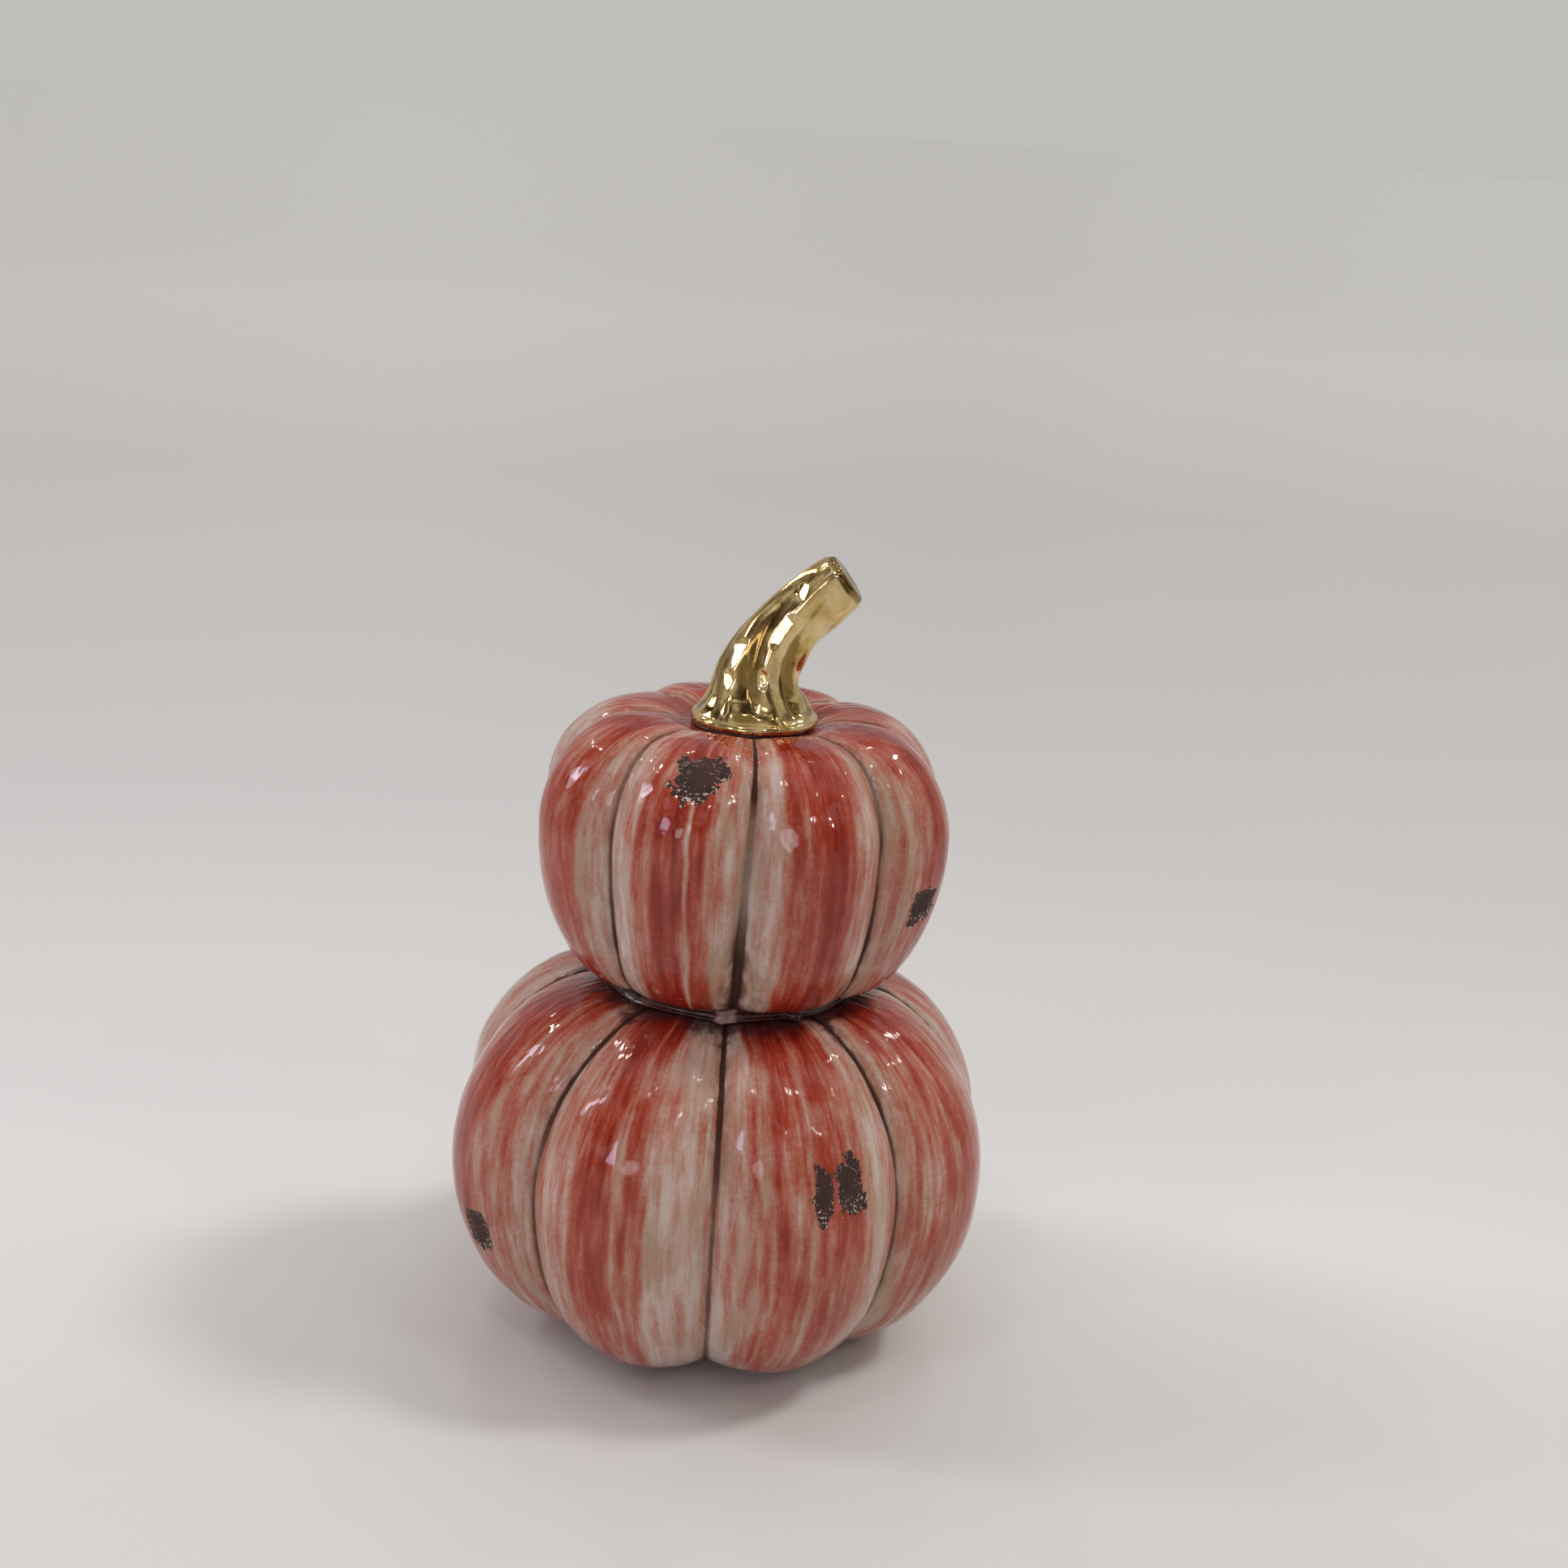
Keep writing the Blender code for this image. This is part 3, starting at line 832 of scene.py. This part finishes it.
LOWER_LOADS_AND_SHADE = (
    # Loads from -82 to -48 degrees are raised: painted shade and dark reflection on the left side.
    (-82, 0.55), (-76, 0.65), (-70, 0.90), (-66, 0.95), (-62, 0.85), (-59.5, 0.52), (-56, 0.40),
    (-52, 0.44), (-48, 0.34), (-42, 0.28), (-38, 0.28), (-34, 0.34), (-31, 0.36), (-29, 0.60), (-26, 0.80),
    (-23, 0.90), (-20.5, 0.62), (-19, 0.35), (-17.5, 0.72), (-15.5, 0.55), (-14, 0.40), (-12.5, 0.14),
    (-9, 0.08), (-5, 0.10), (-1, 0.16), (2, 0.10), (5, 0.14), (6.5, 0.35), (8, 0.55), (9.5, 0.28),
    (11.5, 0.58), (14, 0.66), (16.5, 0.45), (18.5, 0.62), (20, 0.36), (21.5, 0.62), (25, 0.74), (28, 0.64),
    (30.5, 0.55), (32.5, 0.30), (36, 0.16), (40, 0.16), (44, 0.24), (49, 0.32), (51.5, 0.50), (54, 0.40),
    (57, 0.62), (60, 0.52), (63, 0.72), (67, 0.60), (71, 0.42), (76, 0.55), (82, 0.28), (88, 0.12),
    (94, 0.18), (99, 0.50), (104, 0.85), (109, 0.60), (112, 0.80), (117, 0.35), (122, 0.55), (127, 0.20),
    (134, 0.12), (140, 0.30), (144, 0.75), (149, 0.85), (153, 0.50), (158, 0.78), (164, 0.70), (168, 0.30),
    (174, 0.15), (-177, 0.12), (-172, 0.30), (-167, 0.70), (-161, 0.90), (-156, 0.50), (-151, 0.75),
    (-146, 0.35), (-139, 0.14), (-132, 0.18), (-127, 0.45), (-121, 0.80), (-115, 0.60), (-110, 0.80),
    (-105, 0.35), (-98, 0.20), (-90, 0.12),
)

# Fired colours, from bare cream to the thickest red
CREAM = (0.570, 0.450, 0.395)
PALE = (0.500, 0.310, 0.240)
PINK = (0.430, 0.155, 0.105)
RED = (0.365, 0.056, 0.029)
DEEP_RED = (0.235, 0.017, 0.009)
OLIVE = (0.36, 0.225, 0.130)
ROSE = (0.62, 0.40, 0.42)

# Washes, chips and slip
STAIN = (0.235, 0.120, 0.070)
BROWN = (0.048, 0.015, 0.009)
POOL = (0.060, 0.018, 0.020)
CHIP_DARK = (0.036, 0.013, 0.011)
CHIP_LIGHT = (0.056, 0.022, 0.018)
# Cream of the broken glaze edge, also used as a painted glint.
FLECK_AND_GLINT = (0.62, 0.50, 0.40)
CHIP_SQUARENESS = 3.4  # 2 is an ellipse, and more is squarer
SLIP_COLORS = ((0.30, (0.020, 0.008, 0.007)), (0.52, (0.060, 0.016, 0.012)), (0.72, (0.17, 0.045, 0.030)))
BRIDGE_COLORS = ((0.35, (0.30, 0.16, 0.13)), (0.65, (0.46, 0.29, 0.25)))

# Gold, resin and felt
GOLD_COLORS = ((0.30, (0.78, 0.63, 0.38)), (0.50, (0.70, 0.51, 0.23)), (0.72, (0.50, 0.32, 0.10)))
GOLD_SPECK = (0.33, 0.20, 0.08)
# The next colour is painted shade for the stem's hollows and a painted dark reflection at its end.
GOLD_HOLLOW_SHADE = (0.22, 0.125, 0.030)
# The resin is nearly black, as painted shade under the stem's flange.
RESIN_SHADE_COLORS = ((0.3, (0.022, 0.007, 0.006)), (0.7, (0.10, 0.026, 0.018)))
FELT_COLORS = ((0.3, (0.13, 0.115, 0.10)), (0.7, (0.36, 0.33, 0.30)))
FELT_CLUMP = (0.20, 0.18, 0.16)


def brushed(graph, layout):
    """Colour of the brushed red over cream, in streaks that run down the lobes, made less red towards the
    bottom of each pumpkin as painted bounce light from the floor.
    """
    seed = graph.seed
    drift = graph.streaks(7, 26, (seed, 0, 0), 1.0)
    layout_load = layered_load(graph, graph.total(graph.azimuth, graph.swing(drift, 4.0)), layout)
    load = graph.total(
        graph.times(layout_load, 0.82),
        0.09,
        graph.swing(graph.streaks(2.6, 30, (0, seed, 0)), 1.15),
        graph.swing(graph.fine, 0.62),
        graph.swing(graph.streaks(0.40, 8, (seed, seed, 0)), 0.16),
        graph.swing(graph.mottle, 0.40),
        graph.swing(graph.patch, 0.40),
    )
    loaded = graph.step(layout_load, 0.10, 0.5)
    if graph.pumpkin is LOWER:
        red_end = graph.times(graph.step(graph.angle, 50, 86), loaded)
        painted_bounce_light = graph.step(graph.angle, -5, -45)
    else:
        red_end = graph.times(graph.step(graph.angle, -34, -72), loaded)
        red_end = graph.total(red_end, graph.times(graph.step(graph.angle, 58, 82), 0.8))
        painted_bounce_light = graph.step(graph.angle, -20, -60)
    # The last term is painted bounce light from the floor: less red on each pumpkin's lower part.
    load = graph.total(load, graph.times(red_end, 0.36), graph.times(painted_bounce_light, -0.09))
    color = graph.ramp(load, ((0.0, CREAM), (0.22, PALE), (0.45, PINK), (0.70, RED), (1.0, DEEP_RED)))
    stain = graph.step(graph.streaks(4, 30, (3, seed, 9)), 0.44, 0.66)
    color = graph.mix(graph.times(stain, 0.50, graph.step(load, 0.60, 0.12)), color, OLIVE)
    blush = graph.step(graph.streaks(6, 45, (9, 2, seed), 1.0), 0.42, 0.62, 0.0, 0.35)
    return graph.mix(blush, color, ROSE, "SOFT_LIGHT")


def washed(graph, color):
    """The colour with brown wash in the grooves and dark wash at the joint, and how much there is of both."""
    angle, blots = graph.angle, graph.blots
    if graph.pumpkin is LOWER:
        heavy = graph.step(angle, 6, 40)
        width = graph.total(0.27, graph.times(heavy, 0.22))
        fade = graph.total(0.66, graph.times(heavy, 0.30))
    else:
        front = graph.step(graph.math("ABSOLUTE", graph.azimuth), 26, 14)
        heavy = graph.total(graph.step(angle, 22, 42), graph.step(angle, -6, -40))
        low_front = graph.times(graph.step(angle, -5, -45), front)
        width = graph.total(0.22, graph.times(heavy, 0.09), low_front)
        dim = graph.times(graph.step(angle, 5, 45), graph.total(1.0, graph.times(front, -1.0)))
        faint = graph.times(front, graph.total(1.0, graph.times(heavy, -1.0)))
        fade = graph.total(0.76, graph.times(heavy, 0.20), graph.times(dim, -0.48), graph.times(faint, -0.34))
    width = graph.times(width, graph.step(blots, 0.25, 0.80, 0.70, 1.35))
    away = graph.math("DIVIDE", graph.attribute("groove"), width)
    line = graph.step(away, 1.55, 0.35)
    halo = graph.step(away, 6.5, 0.5)
    soak = graph.times(halo, graph.step(blots, 0.36, 0.68), graph.total(0.22, graph.times(heavy, 0.55)))
    color = graph.mix(soak, color, STAIN)
    color = graph.mix(graph.times(line, fade), color, BROWN)

    around = graph.noise(graph.scaled(graph.skin, (6.5, 6.5, 0.0), (graph.seed, 0, 2)), 1.0, 2.0)
    gather = graph.step(around, 0.35, 0.65)
    spread = graph.total(graph.swing(blots, 26), graph.times(halo, 9.0), graph.times(gather, 7.0))
    if graph.pumpkin is LOWER:
        pool = graph.step(graph.total(angle, spread), 80, 91)
    else:
        pool = graph.step(graph.total(angle, graph.times(spread, -1.0)), -79, -90)
    return graph.mix(graph.times(pool, 0.85), color, POOL), line, pool


def chipped(graph, color):
    """The colour with worn chips, and where the chips are. The cream flecks along their lower edges are the
    glaze's broken edge and also painted glints where that edge catches the light.
    """
    masks, glint_rims = [], []
    for chip in graph.pumpkin.chips:
        across = graph.times(graph.total(graph.azimuth, -chip.azimuth), 1 / chip.across)
        along = graph.times(graph.total(graph.angle, -chip.angle), 1 / chip.along)
        moved = graph.scaled(graph.place, (1.0, 1.0, 1.0), (chip.seed, 0.0, chip.seed))
        teeth = graph.step(graph.noise(moved, 720.0, 2.0, 0.6), 0.30, 0.70, -0.13, 0.13)
        bays = graph.step(graph.noise(moved, 260.0, 1.0, 0.5), 0.30, 0.70, -0.18, 0.18)
        sizes = [graph.math("ABSOLUTE", side) for side in (across, along)]
        sides = [graph.math("POWER", size, CHIP_SQUARENESS) for size in sizes]
        reach = graph.total(graph.math("POWER", graph.total(*sides), 1 / CHIP_SQUARENESS), teeth, bays)
        masks.append(graph.step(reach, 0.92, 0.84))
        # Lower edges get cream flecks: broken glaze, with painted glints.
        low = graph.step(along, 0.35, -0.35, 0.25, 1.0)
        glint_rims.append(graph.times(masks[-1], graph.step(reach, 0.30, 0.78), low))
    worn = graph.largest(*masks)
    flakes = graph.step(graph.noise(graph.place, 1400.0, 2.0, 0.6), 0.56, 0.62)
    body = graph.mix(graph.step(graph.patch, 0.35, 0.7), CHIP_DARK, CHIP_LIGHT)
    body = graph.mix(graph.times(graph.largest(*glint_rims), flakes), body, FLECK_AND_GLINT)
    return graph.mix(worn, color, body), worn


def glaze(name, pumpkin, layout, seed):
    """Glossy glaze over brushed colour, with matt wash in the grooves and worn chips."""
    graph = Glaze(name, pumpkin, seed)
    color, line, pool = washed(graph, brushed(graph, layout))
    color, worn = chipped(graph, color)
    gloss = graph.step(graph.noise(graph.place, 55.0, 3.0, 0.6), 0.3, 0.75, 0.055, 0.125)
    gloss = graph.total(gloss, graph.times(pool, 0.10), graph.times(line, 0.42))
    ripple = graph.bump(graph.streaks(3.4, 8.5, (seed, 4, 0), 1.0, 0.4), 0.55, 0.00042)
    grain = graph.total(graph.times(graph.fine, 0.5), graph.times(graph.mottle, 0.25))
    relief = graph.total(grain, graph.times(worn, -2.0))
    return graph.shade({
        "Base Color": color,
        "Roughness": graph.between(worn, gloss, 0.72),
        "IOR": 1.46,
        "Specular IOR Level": graph.total(0.5, graph.times(line, -0.34)),
        "Normal": graph.bump(relief, 0.35, 0.00006, ripple),
    })


def dark_slip():
    """Pooled glaze in the crease: nearly black brown, with a pinkish bridge at the front."""
    graph = Graph(bpy.data.materials.new("dark_slip"))
    place = graph.object_place()
    front = graph.math("ABSOLUTE", graph.attribute("front"))
    blots = graph.noise(place, 420.0, 3.0, 0.6)
    bridge = graph.step(graph.total(front, graph.swing(blots, 6.0)), 5.4, 3.4)
    pink = graph.ramp(graph.noise(place, 800.0, 2.0), BRIDGE_COLORS)
    return graph.shade({
        "Base Color": graph.mix(bridge, graph.ramp(blots, SLIP_COLORS), pink),
        "Roughness": graph.step(blots, 0.3, 0.7, 0.10, 0.24),
        "IOR": 1.52,
        "Normal": graph.bump(graph.noise(place, 520.0, 3.0), 0.5, 0.0002),
    })


def gold_lustre():
    """Mirror-like fired gold, rubbed thinner in places, with painted brown shade in its hollows and a painted
    dark reflection at its end.
    """
    graph = Graph(bpy.data.materials.new("gold_lustre"))
    place = graph.object_place()
    thin = graph.noise(place, 190.0, 4.0, 0.6)
    specks = graph.noise(place, 1300.0, 2.0, 0.5)
    color = graph.ramp(thin, GOLD_COLORS)
    color = graph.mix(graph.times(graph.step(specks, 0.66, 0.74), 0.45), color, GOLD_SPECK)
    # Painted shade in the hollows and a painted dark reflection at the end, deeper where the gold is thin.
    painted_shade = graph.step(graph.total(graph.attribute("hollow"), graph.total(thin, -0.5)), 0.30, 0.85)
    smear = graph.step(graph.noise(place, 95.0, 3.0, 0.55), 0.3, 0.75, 0.05, 0.14)
    dimples = graph.noise(graph.scaled(place, (330.0, 330.0, 190.0)), 1.0, 2.0, 0.5)
    return graph.shade({
        "Base Color": graph.mix(graph.times(painted_shade, 0.85), color, GOLD_HOLLOW_SHADE),
        "Metallic": 1.0,
        "Roughness": graph.total(smear, graph.times(specks, 0.04)),
        "Normal": graph.bump(specks, 0.12, 0.00008, graph.bump(dimples, 0.3, 0.00022)),
    })


def adhesive():
    """Dark brown resin, kept nearly black as painted shade under the stem's flange."""
    graph = Graph(bpy.data.materials.new("adhesive"))
    blots = graph.noise(graph.object_place(), 700.0, 3.0)
    return graph.shade({
        "Base Color": graph.ramp(blots, RESIN_SHADE_COLORS),
        "Roughness": graph.step(blots, 0.3, 0.7, 0.22, 0.42),
        "Normal": graph.bump(blots, 0.5, 0.00015),
    })


def felt():
    """Grey-brown felt with matted fibres."""
    graph = Graph(bpy.data.materials.new("felt"))
    place = graph.object_place()
    fibres = graph.noise(graph.scaled(place, (2600.0, 900.0, 1700.0)), 1.0, 4.0, 0.7, 1.6)
    clumps = graph.step(graph.noise(place, 520.0, 3.0), 0.4, 0.7, 0.0, 0.5)
    return graph.shade({
        "Base Color": graph.mix(clumps, graph.ramp(fibres, FELT_COLORS), FELT_CLUMP),
        "Roughness": graph.step(fibres, 0.3, 0.7, 0.86, 1.0),
        "Sheen Weight": 0.35,
        "Normal": graph.bump(fibres, 0.9, 0.00018),
    })


# ---------------------------------------------------------------- stage, light and camera

TABLE_HALF = 60.0
TONE_SHIFT = (0.0, 0.6, 0.0)  # the tone goes out in rings from this far in front of the figure
NEAREST = 0.05
FAR_RANGE = (-0.6, 1.6)  # logarithms of the distances at the ends of the tones
# Painted light and shade on the table: a bright band just behind the figure, a darker zone further back, then
# an even tone to the horizon.
TABLE_LIGHT_TONES = (
    (0.000, (0.700, 0.692, 0.668)),
    (0.148, (0.705, 0.702, 0.680)),
    (0.194, (0.750, 0.746, 0.742)),
    (0.210, (0.705, 0.700, 0.698)),
    (0.238, (0.672, 0.665, 0.658)),
    (0.274, (0.600, 0.596, 0.594)),
    (0.325, (0.562, 0.554, 0.545)),
    (0.396, (0.546, 0.536, 0.524)),
    (0.509, (0.725, 0.713, 0.694)),
    (1.000, (0.722, 0.713, 0.690)),
)
TABLE_CLOUD = (0.50, 0.48, 0.47)


def table_top():
    """Pale satin surface with light and shade painted into its tone, which changes with the distance:
    brightest just behind the figure, darker a metre or two back, even towards the horizon; faintly clouded
    near the figure.
    """
    graph = Graph(bpy.data.materials.new("table_top"))
    place = graph.object_place()
    away = graph.length(graph.scaled(place, (1.0, 1.0, 1.0), TONE_SHIFT))
    far = graph.math("LOGARITHM", graph.math("MAXIMUM", away, NEAREST), 10.0)
    tone = graph.ramp(graph.add("MapRange", far, *FAR_RANGE, 0.0, 1.0).outputs[0], TABLE_LIGHT_TONES)
    near = graph.step(graph.length(place), 1.2, 0.3)
    cloud = graph.times(graph.noise(place, 3.2, 3.0, 0.5), near)
    return graph.shade({
        "Base Color": graph.mix(graph.step(cloud, 0.3, 0.7, 0.0, 0.06), tone, TABLE_CLOUD),
        "Roughness": graph.step(cloud, 0.3, 0.7, 0.30, 0.40),
        "Specular IOR Level": 0.30,
    })


def make_floor(material):
    """A wide table top that goes on to the horizon."""
    mesh = bpy.data.meshes.new("table_top")
    corners = [(x * TABLE_HALF, y * TABLE_HALF, 0) for x, y in ((-1, -1), (1, -1), (1, 1), (-1, 1))]
    mesh.from_pydata(corners, [], [(0, 1, 2, 3)])
    mesh.materials.append(material)
    floor = bpy.data.objects.new("table_top", mesh)
    bpy.context.scene.collection.objects.link(floor)


def way_to(azimuth, elevation):
    """Unit vector towards an azimuth and elevation in degrees."""
    flat = cos(radians(elevation))
    return Vector((sin(radians(azimuth)) * flat, -cos(radians(azimuth)) * flat, sin(radians(elevation))))


AIM = Vector((0.0, 0.0, 0.10))
SPOT_DISTANCE = 2.4
SPOT_SIZE = 0.11
SPOT_COLOR = (1.0, 0.96, 0.90)
SPOTS = (  # azimuth, elevation, power
    (-136, 36, 1.8), (154, 60, 1.2), (-162, 52, 1.7), (133, 41, 1.2), (-121, 45, 1.8),
    (103, 42, 1.1), (60, 67, 1.4), (-35, 65, 1.7), (18, 43, 1.5), (53, 38, 1.3),
)
PANELS = ((-100, 25, 7), (-20, 17, 6))  # azimuth, elevation, half width in degrees
PANEL_COLOR = (5.4, 5.4, 5.8)
HORIZON = (0.712, 0.699, 0.661)
CEILING = (0.80, 0.79, 0.77)
ROOM_SIDE = (-25, 15)  # azimuth and elevation of the middle of the room's darker half
BEFORE = (
    (0.40, (0.07, 0.055, 0.04)),
    (0.49, (0.20, 0.17, 0.13)),
    (0.56, (0.42, 0.40, 0.36)),
    (0.64, (1.25, 1.25, 1.3)),
)
BEHIND = ((0.38, (0.44, 0.42, 0.40)), (0.50, (0.66, 0.65, 0.63)), (0.64, (0.95, 0.95, 0.95)))
ROOM_STRENGTH = 0.735


def add_lamp(name, azimuth, elevation, distance, size, power, color, height=None):
    """An area lamp that faces the figure."""
    lamp = bpy.data.lights.new(name, "AREA")
    lamp.shape = "RECTANGLE" if height else "DISK"
    lamp.size = size
    if height:
        lamp.size_y = height
    lamp.energy = power
    lamp.color = color
    thing = bpy.data.objects.new(name, lamp)
    way = way_to(azimuth, elevation)
    thing.location = AIM + way * distance
    thing.rotation_euler = way.to_track_quat("Z", "Y").to_euler()
    bpy.context.scene.collection.objects.link(thing)


def add_sun(name, azimuth, elevation, spread, strength, color):
    """Soft light that falls evenly on the whole floor, and doesn't show as a highlight."""
    lamp = bpy.data.lights.new(name, "SUN")
    lamp.angle = radians(spread)
    lamp.energy = strength
    lamp.color = color
    thing = bpy.data.objects.new(name, lamp)
    thing.rotation_euler = way_to(azimuth, elevation).to_track_quat("Z", "Y").to_euler()
    thing.visible_glossy = False
    bpy.context.scene.collection.objects.link(thing)


def make_lamps():
    """Ceiling spots, two windows and soft light from the sides."""
    for index, (azimuth, elevation, power) in enumerate(SPOTS):
        add_lamp(f"spot_{index}", azimuth, elevation, SPOT_DISTANCE, SPOT_SIZE, power, SPOT_COLOR)
    add_lamp("window", -42, 22, 1.9, 0.24, 2.6, (0.74, 0.70, 1.0), height=0.45)
    add_lamp("window_left", -96, 30, 1.9, 0.19, 2.7, (0.82, 0.78, 1.0), height=0.40)
    add_sun("sky_left", -98, 46, 12, 0.27, (1.0, 0.99, 0.98))
    add_sun("sky_right", 95, 56, 10, 0.84, (1.0, 0.985, 0.97))
    add_sun("sky_front", -12, 34, 60, 0.10, (1.0, 0.985, 0.97))


def make_room():
    """The room all round: an even horizon, cluttered walls with bright panels, and a pale ceiling."""
    world = bpy.data.worlds.new("room")
    bpy.context.scene.world = world
    graph = Graph(world)
    way = graph.add("TexCoord").outputs["Generated"]
    height = graph.add("SeparateXYZ", way).outputs[2]
    blocks = graph.noise(graph.scaled(way, (4.2, 4.2, 5.0), (3.0, 1.0, 0.0)), 1.0, 3.0, 0.55)
    share = graph.step(graph.facing(way, *ROOM_SIDE), 0.25, -0.30)
    room = graph.mix(share, graph.ramp(blocks, BEFORE), graph.ramp(blocks, BEHIND))
    for azimuth, elevation, half in PANELS:
        rim, middle = cos(radians(half * 1.2)), cos(radians(half * 0.8))
        room = graph.mix(graph.step(graph.facing(way, azimuth, elevation), rim, middle), room, PANEL_COLOR)
    room = graph.mix(graph.step(height, 0.80, 0.93), room, CEILING)
    background = graph.tree.nodes["Background"]
    graph.feed(background.inputs["Color"], graph.mix(graph.step(height, 0.10, 0.22), HORIZON, room))
    background.inputs["Strength"].default_value = ROOM_STRENGTH


CAMERA_PLACE = (0.0, -0.492563, 0.273838)
CAMERA_PITCH = 0.284  # this and the next two in radians
CAMERA_YAW = 0.020
CAMERA_ROLL = 0.067
CAMERA_LENS = 52.17


def make_camera():
    """The camera, slightly above the figure and turned a little about its own axis."""
    level = Vector((cos(CAMERA_YAW), -sin(CAMERA_YAW), 0.0))
    flat = cos(CAMERA_PITCH)
    forward = Vector((sin(CAMERA_YAW) * flat, cos(CAMERA_YAW) * flat, -sin(CAMERA_PITCH)))
    up = level.cross(forward)
    right = level * cos(CAMERA_ROLL) + up * sin(CAMERA_ROLL)
    top = -level * sin(CAMERA_ROLL) + up * cos(CAMERA_ROLL)
    camera = bpy.data.cameras.new("camera")
    camera.sensor_width = 36.0
    camera.lens = CAMERA_LENS
    camera.clip_start = 0.01
    camera.clip_end = 200.0
    thing = bpy.data.objects.new("camera", camera)
    turn = Matrix((right, top, -forward)).transposed().to_4x4()
    thing.matrix_world = Matrix.Translation(CAMERA_PLACE) @ turn
    bpy.context.scene.collection.objects.link(thing)
    bpy.context.scene.camera = thing


make_camera()
make_skin("lower_pumpkin", LOWER, lower_sway, glaze("lower_glaze", LOWER, LOWER_LOADS_AND_SHADE, 3.7), 11)
make_skin("upper_pumpkin", UPPER, upper_sway, glaze("upper_glaze", UPPER, UPPER_LOADS, 8.2), 21)
make_slip(dark_slip())
make_stem(gold_lustre())
make_adhesive(adhesive())
felt_material = felt()
for number, pad_name in enumerate(("pad_front", "pad_right", "pad_back", "pad_left")):
    make_pad(pad_name, felt_material, 70 + number)
make_floor(table_top())
make_lamps()
make_room()
bpy.context.scene.view_settings.view_transform = "Standard"
